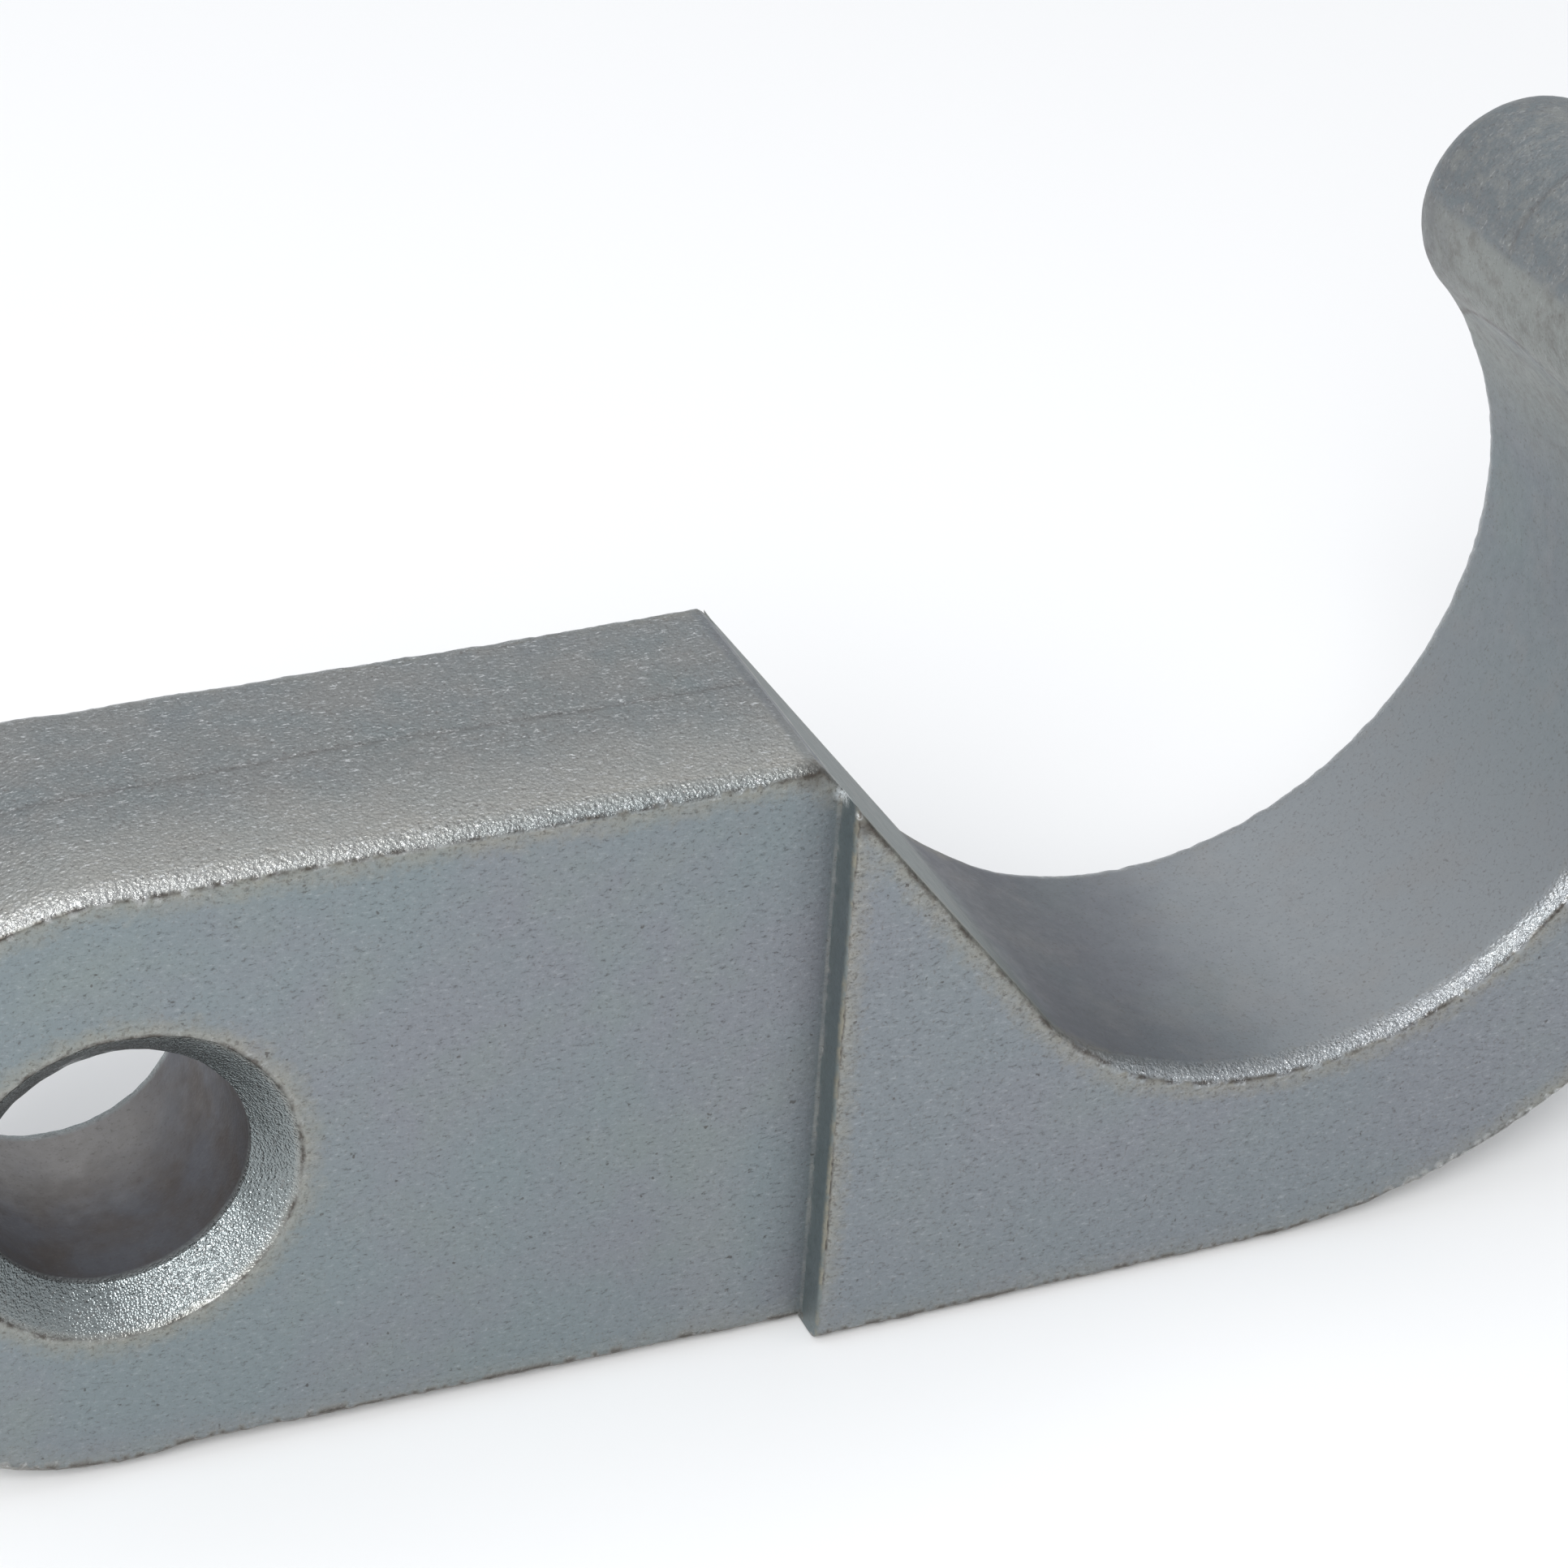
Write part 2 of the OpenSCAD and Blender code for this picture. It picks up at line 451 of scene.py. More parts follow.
def add_shoulders(skin, shank, horn):
    """The milled step between the shank's cheek and the horn's, front and back."""
    band = BAND_STEPS + 1
    z = rows_between(shank[-1, 0, 2], shank[0, 0, 2])
    inner = np.stack([np.full(len(z), -SHANK_HALF), z], 1)
    z = rows_between(horn[0, 0, 2], horn[-1, 0, 2])
    outer = np.stack([np.full(len(z), -HORN_HALF), z[::-1]], 1)
    shared = slice(band - 1, band + EXTRA_ROWS + 1)
    loop = np.concatenate([
        shank[-1, :band][::-1][:, 1:], inner, shank[0, :band][:, 1:],
        horn[-1, shared][::-1][1:-1][:, 1:],
        horn[-1, :band][::-1][:, 1:], outer, horn[0, :band][:, 1:],
        horn[0, shared][1:-1][:, 1:],
    ])
    flat, faces, _ = fill(loop, fine=STEP, coarse=STEP,
                          given=grid_points(WORN_ROWS - HORN_HALF, z))
    for side in (1, -1):
        points = np.stack([np.full(len(flat), SHOULDER_X), side * flat[:, 0], flat[:, 1]], 1)
        skin.add(points, faces, shoulder=1.0, edge=HORN_HALF - np.abs(flat[:, 0]))


def add_bore(skin):
    """The drilled bolt hole and its two as-forged, flared mouths."""
    angles = np.linspace(0, 2 * math.pi, BORE_POINTS, endpoint=False)[:, None]
    rim = mouth_rim(angles[:, 0])[:, None]
    share = np.linspace(0, 1, MOUTH_ROWS)
    flare = rim + (BORE_R - rim) * share ** 0.9
    depth = np.broadcast_to(SHANK_HALF - MOUTH_DEPTH * share, flare.shape)
    inside = np.linspace(1, -1, BORE_ROWS + 2)[1:-1] * (SHANK_HALF - MOUTH_DEPTH)
    bore = np.full((BORE_POINTS, BORE_ROWS), BORE_R)
    radius = np.concatenate([flare, bore, flare[:, ::-1]], 1)
    y = -np.concatenate([depth, np.broadcast_to(inside, bore.shape), -depth[:, ::-1]], 1)
    points = np.stack([radius * np.cos(angles), y, radius * np.sin(angles)], -1)
    count = radius.shape[1]
    mouth = np.zeros(count)
    mouth[:MOUTH_ROWS] = mouth[-MOUTH_ROWS:] = 1
    mouth[0] = mouth[-1] = 0.5
    around = np.ones((BORE_POINTS, 1))
    faces = [(b, a, d, c) for a, b, c, d in grid_faces(BORE_POINTS, count)]
    last = (BORE_POINTS - 1) * count
    faces += [(last + i, last + i + 1, i + 1, i) for i in range(count - 1)]
    skin.add(points, faces, mouth=around * mouth, forged=around * mouth,
             bore=around * (mouth == 0), edge=from_ends(points))


# ================================================================ surface
def rounded_shoulder(points):
    """Wears the shoulder's outer edges round, unevenly along their length."""
    worn = points.copy()
    z = points[:, 2]
    size = WEAR + 0.16 * wave(z, 2.5, 3.1) + 0.1 * wave(z, 0.8, 5.7)
    across = SHOULDER_X + size - points[:, 0]
    out = np.abs(points[:, 1]) - (HORN_HALF - size)
    reach = np.hypot(across, out)
    outside = (across > 0) & (out > 0) & (reach > size)
    pull = size[outside] / reach[outside]
    worn[outside, 0] = SHOULDER_X + size[outside] - across[outside] * pull
    worn[outside, 1] = np.sign(points[outside, 1]) * (
        HORN_HALF - size[outside] + out[outside] * pull)
    return worn


def noise_at(points, size, seed):
    shift = Vector((seed, 2 * seed, -seed))
    return np.array([noise.noise(Vector(p) / size + shift) for p in points])


def smooth_step(values, low, high):
    share = np.clip((values - low) / (high - low), 0, 1)
    return share * share * (3 - 2 * share)


def tip_masks(points):
    """Masks of the tip: the forged lip on its underside, the crease at which the milled
    seat starts, which bows towards the tip in the middle, and the band of painted shade
    along the ridge above the lip."""
    flat, y = points[:, [0, 2]], points[:, 1]
    from_seat, from_tip = flat - SEAT, flat - TIP
    turn = np.degrees(np.arctan2(from_seat[:, 1], from_seat[:, 0]))
    past = np.radians(turn - (CREASE_ANGLE - CREASE_BOW * y ** 2)) * SEAT_R
    round_tip = np.degrees(np.arctan2(from_tip[:, 1], from_tip[:, 0])) % 360
    inner = np.hypot(*from_seat.T) < SEAT_R + WALL / 2
    lip = smooth_step(past, -0.1, 0.3) * smooth_step(round_tip, *LIP_ANGLES) * inner
    crease = np.exp(-(past / CREASE_WIDTH) ** 2) * inner
    ridge = np.exp(-((round_tip - RIDGE_ANGLE) / RIDGE_WIDTH) ** 2)
    return {"lip": lip, "crease": crease, "ridge": ridge * (np.hypot(*from_tip.T) < WALL)}


def roughen(points, normals, masks):
    """Moves the surface as the die, the blast and the cutter left it."""
    noises = np.array([noise_at(points, size, seed) for size, seed in NOISES])
    forged = masks["forged"] * (1 - LIP_CALM * masks["lip"])
    band = masks["band"] * np.clip(0.4 + masks["edge"] / 0.3, 0, 1)
    move = forged * (FORGED_MOVES @ noises)
    move += band * (BAND_MOVES @ noises)
    move += masks["mouth"] * (MOUTH_MOVES @ noises)
    move += (1 - forged) * (1 - masks["bore"]) * (MILLED_MOVES @ noises)
    groove = np.clip(PARTING_DEPTH + PARTING_RANGE * noises[1], 0, 1)
    move -= masks["parting"] * (1 - masks["lip"]) * groove
    move += LIP_SWELL * masks["lip"]
    return points + normals * move[:, None]


def build_skin():
    """The patches of the whole forging. Neighbours share the points of their borders."""
    shank_line = unsettle(shank_outline(), 11.3)
    horn_line = unsettle(horn_outline(), 17.9)
    shank_line["seat"] = np.zeros(len(shank_line["p"]))
    horn_line["seat"] = 1 - horn_line["forged"]
    shank_rim = SHANK_HALF - shank_line["edge"] * math.sin(math.radians(BAND_ANGLE))
    shared = np.interp(horn_line["share"], [0, 0.3, 0.85, 1],
                       [shank_rim[-1], SHARED_HALF, SHARED_HALF, shank_rim[0]])
    shank = section(shank_line, SHANK_HALF, shank_rim)
    horn = section(horn_line, HORN_HALF, shared)

    skin = Skin()
    add_rim(skin, shank_line, shank)
    add_rim(skin, horn_line, horn)
    add_shank_cheeks(skin, shank)
    add_horn_cheeks(skin, horn)
    add_shoulders(skin, shank, horn)
    add_bore(skin)
    return skin


def join(skin):
    """One closed mesh, still in millimetres, with the masks as attributes of its points."""
    mesh = bpy.data.meshes.new("horn_forging_skin")
    points = rounded_shoulder(np.concatenate(skin.points))
    mesh.from_pydata(points.tolist(), [], skin.faces)
    for name, parts in skin.masks.items():
        layer = mesh.attributes.new(name, "FLOAT", "POINT")
        layer.data.foreach_set("value", np.concatenate(parts).astype(np.float32))
    bm = bmesh.new()
    bm.from_mesh(mesh)
    bmesh.ops.remove_doubles(bm, verts=bm.verts, dist=MERGE)
    bmesh.ops.recalc_face_normals(bm, faces=bm.faces)
    bm.to_mesh(mesh)
    bm.free()
    mesh.shade_smooth()
    mesh.set_sharp_from_angle(angle=math.radians(SHARP))
    return mesh


def read(items, name, width=1):
    """One property of every item of a collection, as rows of width numbers."""
    values = np.zeros(len(items) * width)
    items.foreach_get(name, values)
    return values if width == 1 else values.reshape(-1, width)


def build_forging():
    """The whole forging as one object, roughened and in metres."""
    mesh = join(build_skin())
    points, normals = read(mesh.vertices, "co", 3), read(mesh.vertices, "normal", 3)
    masks = {name: read(mesh.attributes[name].data, "value") for name in Skin.MASKS}
    on_rim = np.clip(masks["forged"] + masks["seat"], 0, 1)
    for name, values in tip_masks(points).items():
        masks[name] = values * on_rim
        mesh.attributes[name].data.foreach_set("value", masks[name].astype(np.float32))
    points = roughen(points, normals, masks)
    mesh.vertices.foreach_set("co", (points * MM).ravel())
    mesh.update()
    piece = bpy.data.objects.new("horn_forging_surface", mesh)
    bpy.context.scene.collection.objects.link(piece)
    return piece


# ================================================================ materials
class Graph:
    """Adds nodes to a material. Inputs are given by name, as constants or as sockets."""

    def __init__(self, name):
        self.material = bpy.data.materials.new(name)
        self.material.use_nodes = True
        self.tree = self.material.node_tree
        self.shader = self.tree.nodes["Principled BSDF"]

    def put(self, socket, value):
        if isinstance(value, bpy.types.NodeSocket):
            self.tree.links.new(value, socket)
        else:
            socket.default_value = value

    def add(self, kind, inputs, **settings):
        node = self.tree.nodes.new("ShaderNode" + kind)
        for name, value in settings.items():
            setattr(node, name, value)
        for key, value in inputs.items():
            self.put(node.inputs[key], value)
        return node

    def math(self, operation, *values):
        return self.add("Math", dict(enumerate(values)), operation=operation).outputs[0]

    def product(self, first, *others):
        for other in others:
            first = self.math("MULTIPLY", first, other)
        return first

    def highest(self, first, *others):
        for other in others:
            first = self.math("MAXIMUM", first, other)
        return first

    def without(self, value):
        """1 where the value is 0, and 0 where it is 1."""
        return self.math("SUBTRACT", 1.0, value)

    def mask(self, name):
        """A mask that the mesh carries at its points."""
        return self.add("Attribute", {}, attribute_name=name).outputs["Fac"]

    def scaled(self, vector, scale, turn=0.0):
        """A vector turned about Y by degrees and scaled along each axis."""
        inputs = {"Vector": vector, "Rotation": (0, math.radians(turn), 0), "Scale": scale}
        return self.add("Mapping", inputs).outputs[0]

    def noise(self, size, detail=5.0, rough=0.55, at=None, warp=0.0):
        """Noise with features about size millimetres across."""
        inputs = {"Vector": at or self.place, "Scale": 1 / size, "Detail": detail,
                  "Roughness": rough, "Distortion": warp}
        return self.add("TexNoise", inputs).outputs["Fac"]

    def cells(self, size):
        """Distance to the nearest of scattered points about size millimetres apart."""
        inputs = {"Vector": self.place, "Scale": 1 / size, "Randomness": 1.0}
        return self.add("TexVoronoi", inputs, feature="F1").outputs["Distance"]

    def drift(self, value, far, size, detail=5.0, rough=0.55):
        """A distance with noise of up to far millimetres added to it."""
        return self.math("MULTIPLY_ADD", self.noise(size, detail, rough), far, value)

    def ramp(self, value, low, high, start=0.0, end=1.0):
        """Takes value from low..high to start..end, and clamps it there."""
        inputs = {"Value": value, "From Min": low, "From Max": high,
                  "To Min": start, "To Max": end}
        return self.add("MapRange", inputs).outputs["Result"]

    def patchy(self, size, low, high, start=0.0, end=1.0, detail=5.0, rough=0.55):
        """start where the noise lies below low, end where it lies above high."""
        return self.ramp(self.noise(size, detail, rough), low, high, start, end)

    def blend(self, amount, first, second):
        node = self.add("Mix", {}, data_type="RGBA")
        self.put(node.inputs[0], amount)
        self.put(node.inputs[6], first)
        self.put(node.inputs[7], second)
        return node.outputs[2]

    def bump(self, height, depth, strength, below=None):
        """Bump whose height is depth millimetres where the pattern is 1."""
        inputs = {"Height": height, "Distance": depth * MM, "Strength": strength}
        if below:
            inputs["Normal"] = below
        return self.add("Bump", inputs).outputs[0]

    def spot(self, centre, radius, ragged=0.5):
        """1 at a point of the object and 0 beyond radius, with a ragged outline."""
        gap = self.add("VectorMath", {0: self.place, 1: centre}, operation="DISTANCE")
        rough = self.drift(gap.outputs["Value"], radius * ragged, 0.4, detail=3.0)
        return self.ramp(rough, radius * 0.6, radius * (1 + ragged), 1, 0)


BLUE_GREY = (0.231, 0.27, 0.284, 1)
PURPLE_GREY = (0.244, 0.261, 0.284, 1)
GREEN_GREY = (0.24, 0.277, 0.274, 1)
WARM_GREY = (0.29, 0.295, 0.29, 1)
TIP_GREY = (0.216, 0.243, 0.255, 1)
MOUTH_GREY = (0.25, 0.277, 0.28, 1)
WALL_GREY = (0.2, 0.235, 0.24, 1)
RAMP_GREY = (0.185, 0.208, 0.2, 1)
# painted shade, used on the seat, the tip, the bore and the shank's cheek, then painted light on
# the seat
PAINTED_SHADE_GREY = (0.15, 0.15, 0.167, 1)
PAINTED_LIGHT_GREY = (0.325, 0.345, 0.36, 1)
PALE_GREEN = (0.31, 0.326, 0.311, 1)
DARK_BROWN = (0.13, 0.112, 0.105, 1)
LIGHT_BROWN = (0.33, 0.315, 0.305, 1)
BROWN = (0.06, 0.05, 0.042, 1)
TAN = (0.34, 0.32, 0.26, 1)
CREAM = (0.50, 0.49, 0.45, 1)
# painted highlight on the upper edge bands
HIGHLIGHT_SILVER = (0.5, 0.52, 0.53, 1)
WHITE = (0.85, 0.87, 0.88, 1)

METAL = 0.92
DULL_X = 27.0                   # where along the shank the painted highlight on the edge band is weakest
SCUFFS = (                      # centre, radius and depth of the stains at the ramp's top
    ((32.9, -SHANK_HALF - 0.2, TOP_Z - 0.1), 1.0, 0.65),
    ((34.9, -HORN_HALF, 13.8), 0.6, 0.6),
)
CHIPS = (                       # centre and radius of the bright chips there
    ((SHOULDER_X, -SHANK_HALF - 0.3, 14.7), 0.5),
    ((SHOULDER_X, -HORN_HALF + 0.1, 14.4), 0.25),
)


class Zinc(Graph):
    """Clear blue zinc. Each method paints one kind of mark over those before it. A ramp's
    first two numbers are a range, in millimetres or in levels of noise, and the next two
    are the strengths at its ends."""

    def __init__(self):
        super().__init__(SLOT)
        coordinates = self.add("TexCoord", {}).outputs["Object"]
        self.place = self.scaled(coordinates, (1 / MM,) * 3)
        self.x, self.y, self.z = self.add("SeparateXYZ", {0: self.place}).outputs
        self.out = self.math("ABSOLUTE", self.y)
        self.on = SimpleNamespace(**{name: self.mask(name) for name in Skin.MASKS})
        self.find_areas()
        self.tip_patches = self.noise(0.9, 6.0, 0.72)
        self.fine = self.noise(0.2, 3.0, 0.7)
        self.colour = self.blend(self.patchy(11.0, 0.40, 0.62, detail=4.0),
                                 BLUE_GREY, PURPLE_GREY)

    def find_areas(self):
        """Adds the areas that take more than one of the mesh's own masks."""
        on = self.on
        on.shoulder = self.product(on.shoulder,
                                   self.ramp(self.x, SHOULDER_X - 0.05, SHOULDER_X - 0.02))
        on.tip = self.ramp(self.z, 26, 29)
        on.upper_tip = self.product(on.tip, self.without(on.lip))
        on.upper_band = self.product(on.band,
                                     self.ramp(self.z, BOTTOM_Z + 1.2, BOTTOM_Z + 2.5))
        on.lower_band = self.math("SUBTRACT", on.band, on.upper_band)
        on.rough = self.highest(on.forged, on.band, on.mouth)
        on.cheek = self.without(self.highest(on.rough, on.seat, on.bore, on.shoulder))
        on.shank_cheek = self.product(
            on.cheek, self.ramp(self.out, SHANK_HALF - 0.3, SHANK_HALF + 0.3, 1, 0))
        on.horn_cheek = self.product(
            on.cheek, self.ramp(self.out, SHANK_HALF + 0.3, SHANK_HALF + 0.6))
        on.skin = self.product(on.rough, self.ramp(on.lip, 0, 1, 1, 0.3),
                               self.ramp(on.tip, 0, 1, 1, 0.35))
        on.sparkling = self.highest(on.upper_band, on.mouth)
        # the marks beside the edges are fainter near the bottom
        on.above = self.ramp(self.z, BOTTOM_Z + 2, BOTTOM_Z + 6, 0.35, 1)

    def paint(self, colour, *amounts):
        """Lays a colour over the ones so far, as thickly as the product of the amounts."""
        self.colour = self.blend(self.product(*amounts), self.colour, colour)

    def mottle(self):
        self.paint(GREEN_GREY, self.patchy(6.0, 0.50, 0.70, 0, 0.7))
        self.paint(WARM_GREY, self.on.forged, self.patchy(4.0, 0.35, 0.6, 0.4, 1, rough=0.6))

    def shade_seat(self):
        """Painted shade below the ramp, painted light towards the horn's far wall, and faint
        stains.
        """
        seat = self.on.seat
        along = self.drift(self.x, 8.0, 5.0, detail=4.0)
        # painted light, paler towards the horn's far wall and lower down
        self.paint(PAINTED_LIGHT_GREY, seat, self.ramp(along, 56, 68), self.ramp(self.z, 0, 12, 1, 0.2))
        # painted shade in the hollow below the ramp
        self.paint(PAINTED_SHADE_GREY, seat, self.ramp(along, 48, 51), self.ramp(along, 54, 64, 0.75, 0))
        self.paint(RAMP_GREY, seat, self.ramp(self.x, 45.5, 47, 0.8, 0))
        self.paint(LIGHT_BROWN, seat, self.patchy(3.5, 0.50, 0.66, 0, 0.22, rough=0.6))

    def shade_tip(self):
        """Pale and grimy under its ridge, with painted shade along the ridge and on its back,
        and patches above it.
        """
        on = self.on
        under = self.product(self.highest(on.lip, on.seat), self.ramp(self.z, 18, 25))
        self.paint(PALE_GREEN, under, 0.85)
        # painted shade in a band along the ridge above the lip
        self.paint(PAINTED_SHADE_GREY, on.ridge, self.patchy(1.5, 0.3, 0.6, 0.25, 0.5, detail=4.0))
        # painted shade on the tip's back
        self.paint(PAINTED_SHADE_GREY, on.tip, self.ramp(self.y, 3.5, 7.5),
                   self.patchy(1.2, 0.35, 0.6, 0.2, 0.55, detail=4.0))
        self.paint(TIP_GREY, on.upper_tip, self.ramp(self.tip_patches, 0.40, 0.58, 0.95, 0.2))
        self.paint(PALE_GREEN, on.upper_tip, self.ramp(self.tip_patches, 0.49, 0.68, 0, 0.65))
        self.paint(DARK_BROWN, under, self.patchy(1.0, 0.48, 0.66, 0, 0.35, rough=0.65))
        self.paint(DARK_BROWN, on.crease, self.patchy(1.5, 0.35, 0.6, 0.15, 0.85, detail=4.0))

    def shade_hole(self):
        """The bore has painted shade, darkest towards the shank, and is lighter and browner
        in patches elsewhere.
        """
        # painted shade in the bore, with brown patches, lighter and browner towards its back and
        # left
        bore = self.blend(self.patchy(3.0, 0.38, 0.62, rough=0.6), PAINTED_SHADE_GREY, DARK_BROWN)
        deep = self.ramp(self.drift(self.y, 5.0, 2.2, rough=0.6), 1.0, 6.0)
        side = self.ramp(self.x, 6.2, 3.5, 0, 0.85)
        bore = self.blend(self.product(deep, side), bore, LIGHT_BROWN)
        self.paint(bore, self.on.bore, 0.9)
        self.paint(MOUTH_GREY, self.on.mouth)

    def shade_shoulder(self):
        """The shoulder's wall, then beside it on the shank a band of painted shade, then a paler
        patch.
        """
        on = self.on
        self.paint(WALL_GREY, on.shoulder, 0.9)
        near = self.drift(self.x, 2.0, 1.2, rough=0.6)
        # painted shade in a band beside the shoulder
        self.paint(PAINTED_SHADE_GREY, on.shank_cheek,
                   self.ramp(near, SHOULDER_X - 1.8, SHOULDER_X + 0.2, 0, 0.5))
        # painted shade over the shank's cheek, deepening towards the shoulder
        self.paint(PAINTED_SHADE_GREY, on.shank_cheek, self.ramp(self.x, 6, 30, 0, 0.16))
        self.paint(PALE_GREEN, on.shank_cheek,
                   self.ramp(near, SHOULDER_X - 6.5, SHOULDER_X - 4.5),
                   self.ramp(near, SHOULDER_X - 3.5, SHOULDER_X - 2.0, 1, 0),
                   self.ramp(self.z, 2, -8, 0, 0.3))
        self.paint(PURPLE_GREY, on.horn_cheek, 0.5)

    def stain_edges(self):
        """A yellow-brown tint with brown specks in it, and a pale forged front edge."""
        on = self.on
        bare = self.without(self.highest(self.product(on.mouth, 0.9), on.shoulder, on.band))
        bare = self.product(bare, on.above)
        fringe = self.drift(on.edge, 2.4, 0.8, rough=0.7)
        self.paint(TAN, bare, self.ramp(fringe, 1.1, 2.5, 0.6, 0))
        self.paint(BROWN, bare, self.patchy(0.3, 0.53, 0.62, detail=3.0, rough=0.7),
                   self.ramp(fringe, 1.0, 2.5, 0.6, 0))
        self.paint(CREAM, on.forged, self.without(self.highest(on.mouth, on.tip)),
                   self.ramp(on.edge, 0.8, 6.5, 0.6, 0), self.ramp(self.y, 1, -3))

    def highlight_and_shade_band(self):
        """The rounded edges: painted highlight above, weaker in the shank's middle, painted
        shade below.
        """
        on = self.on
        away = self.math("ABSOLUTE", self.math("SUBTRACT", self.x, DULL_X))
        # painted highlight on the upper edge bands, strongest towards their ends
        self.paint(HIGHLIGHT_SILVER, on.upper_band, self.ramp(away, 5, 25, 0.05, 0.5))
        # less painted highlight in the shank's middle
        self.paint(BLUE_GREY, on.upper_band, self.ramp(away, 5, 20, 0.75, 0))
        # painted shade on the lower edge bands
        self.paint(BROWN, on.lower_band, 0.85)

    def draw_lines(self):
        """The dark line along the edges, the line at the shoulder's worn edge, a line of painted
        shade and one of painted highlight at its foot, and the parting line of the dies."""
        on = self.on
        ragged = self.drift(on.edge, 0.5, 0.3, detail=4.0, rough=0.7)
        broken = self.patchy(1.3, 0.42, 0.58, 0.15, 1, detail=4.0, rough=0.6)
        self.paint(BROWN, broken, on.above, self.ramp(ragged, 0.28, 0.46, 0.85, 0))
        self.paint(TAN, broken, on.shoulder, self.ramp(ragged, 0.52, 0.72, 0.8, 0))
        # painted shade: a dark line in the corner at the shoulder's foot
        self.paint(WALL_GREY, on.shank_cheek,
                   self.ramp(self.x, SHOULDER_X - 0.45, SHOULDER_X - 0.3, 0, 0.5))
        # painted highlight: a pale line at the shoulder's foot
        self.paint(CREAM, on.shank_cheek, self.ramp(broken, 0.15, 1, 0.4, 1),
                   self.ramp(self.x, SHOULDER_X - 0.26, SHOULDER_X - 0.16, 0, 0.8))
        self.paint(DARK_BROWN, on.parting, self.without(on.lip), 0.3)

    def pit_cheeks(self):
        """Short slanted streaks and pits on the milled cheeks. Returns the pits."""
        cheek = self.on.cheek
        streaks = self.noise(0.7, rough=0.75, at=self.scaled(self.place, (1.5, 2.6, 3.6), -20))
        pits = self.product(self.ramp(streaks, 0.58, 0.67), cheek)
        self.paint(BROWN, pits, self.ramp(self.on.shank_cheek, 0, 1, 0.44, 0.56))
        self.paint(BROWN, cheek, self.patchy(0.5, 0.72, 0.76, 0, 0.6, detail=2.0))
        self.paint(WHITE, cheek, self.ramp(streaks, 0.45, 0.30, 0, 0.15))
        return pits

    def fleck_skin(self):
        """Light dashes, which are painted glints, and dark grains on the forged skin, and hardly
        any elsewhere.
        """
        on = self.on
        lengthways = self.scaled(self.place, (1, 2.6, 1))
        glint_dashes = self.noise(0.36, 3.0, 0.7, at=lengthways, warp=0.5)
        bare_tip = self.product(on.upper_tip, self.ramp(self.tip_patches, 0.44, 0.58, 0.8, 0))
        # painted glints: light dashes on the forged skin
        self.paint(WHITE, self.ramp(glint_dashes, 0.58, 0.66),
                   self.without(self.highest(on.mouth, on.lower_band)), self.without(bare_tip),
                   self.ramp(on.skin, 0, 1, 0.03, 0.6))
        self.paint(DARK_BROWN, self.ramp(self.fine, 0.44, 0.30),
                   self.ramp(on.skin, 0, 1, 0.45, 0.6))

    def scuff_corner(self):
        """Stains and bright chips where the top, the ramp and the shoulder meet."""
        for centre, radius, depth in SCUFFS:
            self.paint(BROWN, self.spot(centre, radius), depth)
        chips = self.highest(*[self.spot(centre, radius) for centre, radius in CHIPS])
        self.paint(WHITE, chips, self.ramp(self.fine, 0.40, 0.52))

    def roughness(self):
        on = self.on
        rough = self.patchy(0.7, 0.3, 0.7, 0.48, 0.6, detail=4.0)
        for area, smoother in ((on.skin, 0.15), (on.sparkling, 0.21), (on.mouth, 0.05)):
            rough = self.math("SUBTRACT", rough, self.product(area, smoother))
        return rough

    def relief(self, pits):
        """Blast grain on the forged skin, and hardly any where a cutter has been."""
        on = self.on
        grain = self.product(self.ramp(on.skin, 0, 1, 0.10, 0.9),
                             self.ramp(on.mouth, 0, 1, 1, 0.4))
        surface = self.bump(self.cells(0.2), 0.07, grain)
        surface = self.bump(self.cells(0.11), 0.035, on.sparkling, surface)
        surface = self.bump(self.fine, 0.11, grain, surface)
        return self.bump(pits, -0.03, 0.8, surface)


def zinc():
    """The forging's material: mottled zinc with its stains, pits, flecks and lines, and
    painted shade and highlights.
    """
    layers = Zinc()
    layers.mottle()
    layers.shade_seat()
    layers.shade_tip()
    layers.shade_hole()
    layers.shade_shoulder()
    layers.stain_edges()
    layers.highlight_and_shade_band()
    layers.draw_lines()
    pits = layers.pit_cheeks()
    layers.fleck_skin()
    layers.scuff_corner()
    inputs = layers.shader.inputs
    layers.put(inputs["Base Color"], layers.colour)
    layers.put(inputs["Metallic"], METAL)
    layers.put(inputs["Roughness"], layers.roughness())
    layers.put(inputs["Normal"], layers.relief(pits))
    return layers.material


def floor_material():
    g = Graph("pale_floor")
    g.put(g.shader.inputs["Base Color"], (0.92, 0.92, 0.92, 1))
    g.put(g.shader.inputs["Roughness"], 0.95)
    return g.material


# ================================================================ stage
CAMERA_AT = Vector((35.03, 0.0, 10.34)) * MM    # the point that the camera looks at
CAMERA_DISTANCE = 213.15 * MM
CAMERA_AZIMUTH, CAMERA_ELEVATION, CAMERA_ROLL = 24.96, 32.14, 3.90
CAMERA_LENS = 101.72                            # on a 36 mm sensor
FLOOR_HALF = 3.0                                # metres
FLOOR_GAP = 0.0001                              # keeps the floor clear of the forging
WORLD_COLOUR, WORLD_STRENGTH = (0.95, 0.97, 1, 1), 0.73
LIGHTS = (                      # name, direction, distance and size in metres, watts
    ("key", (-0.5, -0.62, 0.6), 0.6, 0.32, 2.75),
    ("overhead", (0.1, 0.35, 1.0), 1.2, 1.0, 1.6),
)


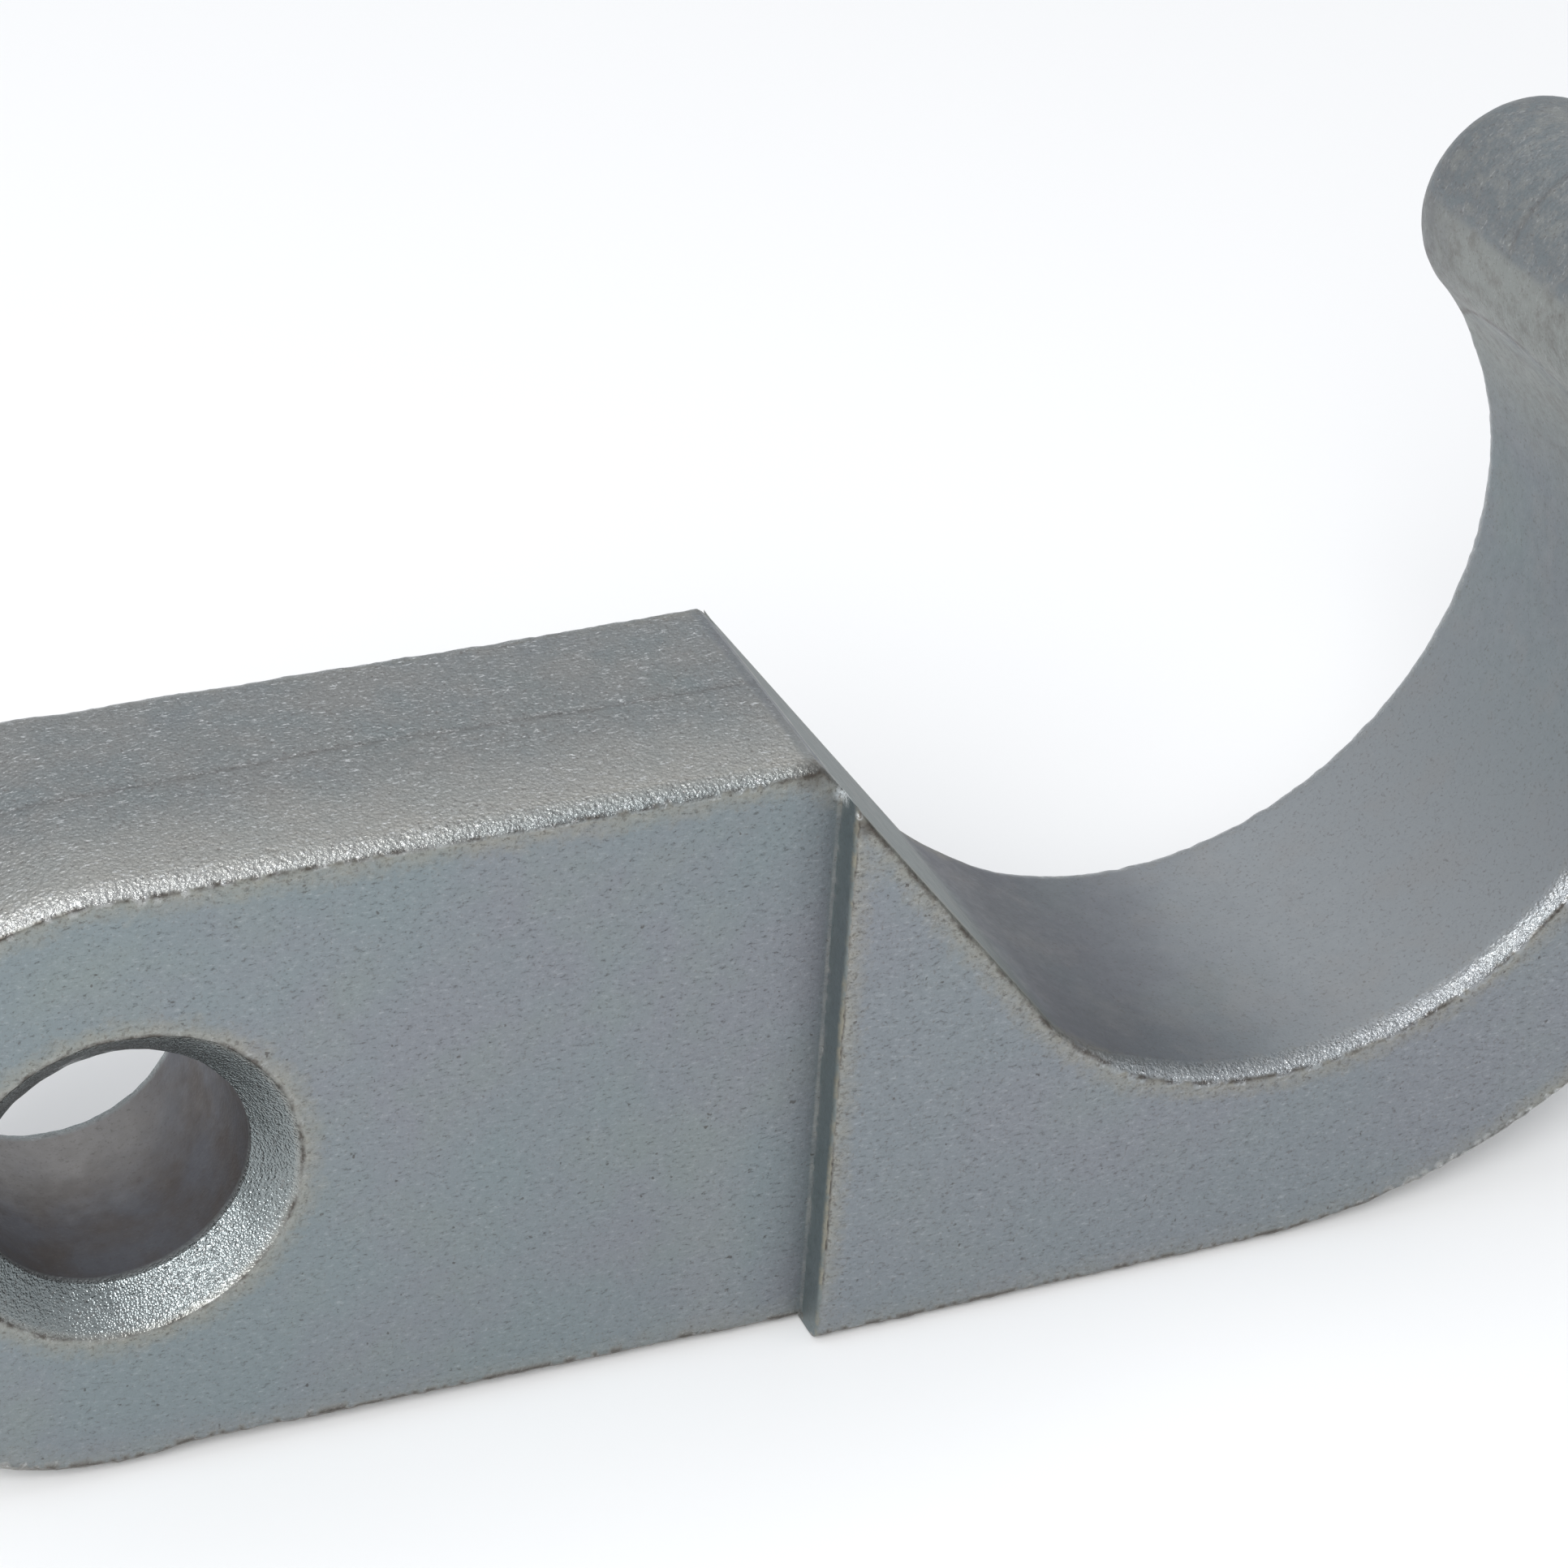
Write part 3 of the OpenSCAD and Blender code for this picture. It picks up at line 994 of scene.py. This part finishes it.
def add_camera():
    azimuth, elevation = math.radians(CAMERA_AZIMUTH), math.radians(CAMERA_ELEVATION)
    ahead = Vector((math.sin(azimuth) * math.cos(elevation),
                    math.cos(azimuth) * math.cos(elevation), -math.sin(elevation)))
    level = ahead.cross(Vector((0, 0, 1))).normalized()
    right = Matrix.Rotation(-math.radians(CAMERA_ROLL), 3, ahead) @ level
    up = right.cross(ahead)
    camera = bpy.data.objects.new("camera", bpy.data.cameras.new("camera"))
    camera.data.lens = CAMERA_LENS
    camera.data.sensor_width = 36
    camera.data.clip_start = 0.01
    turn = Matrix((right, up, -ahead)).transposed()
    camera.matrix_world = Matrix.Translation(CAMERA_AT - CAMERA_DISTANCE * ahead) @ turn.to_4x4()
    bpy.context.scene.collection.objects.link(camera)
    bpy.context.scene.camera = camera


def add_light(name, direction, distance, size, power):
    """A soft square light that shines on the horn's middle from a direction."""
    light = bpy.data.objects.new(name, bpy.data.lights.new(name, "AREA"))
    light.data.size = size
    light.data.energy = power
    way = Vector(direction).normalized()
    light.location = CAMERA_AT + distance * way
    light.rotation_euler = way.to_track_quat("Z", "Y").to_euler()
    bpy.context.scene.collection.objects.link(light)


def add_floor():
    mesh = bpy.data.meshes.new("floor")
    half = FLOOR_HALF
    z = BOTTOM_Z * MM - FLOOR_GAP
    mesh.from_pydata([(-half, -half, z), (half, -half, z), (half, half, z), (-half, half, z)],
                     [], [(0, 1, 2, 3)])
    floor = bpy.data.objects.new("floor", mesh)
    floor.data.materials.append(floor_material())
    bpy.context.scene.collection.objects.link(floor)


def add_stage():
    add_floor()
    world = bpy.data.worlds.new("studio")
    world.use_nodes = True
    background = world.node_tree.nodes["Background"]
    background.inputs["Color"].default_value = WORLD_COLOUR
    background.inputs["Strength"].default_value = WORLD_STRENGTH
    bpy.context.scene.world = world
    for light in LIGHTS:
        add_light(*light)
    bpy.context.scene.view_settings.view_transform = "Standard"


add_camera()
add_stage()
forging = build_forging()
forging.data.materials.append(zinc())
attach(forging, "root")
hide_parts(NODE)
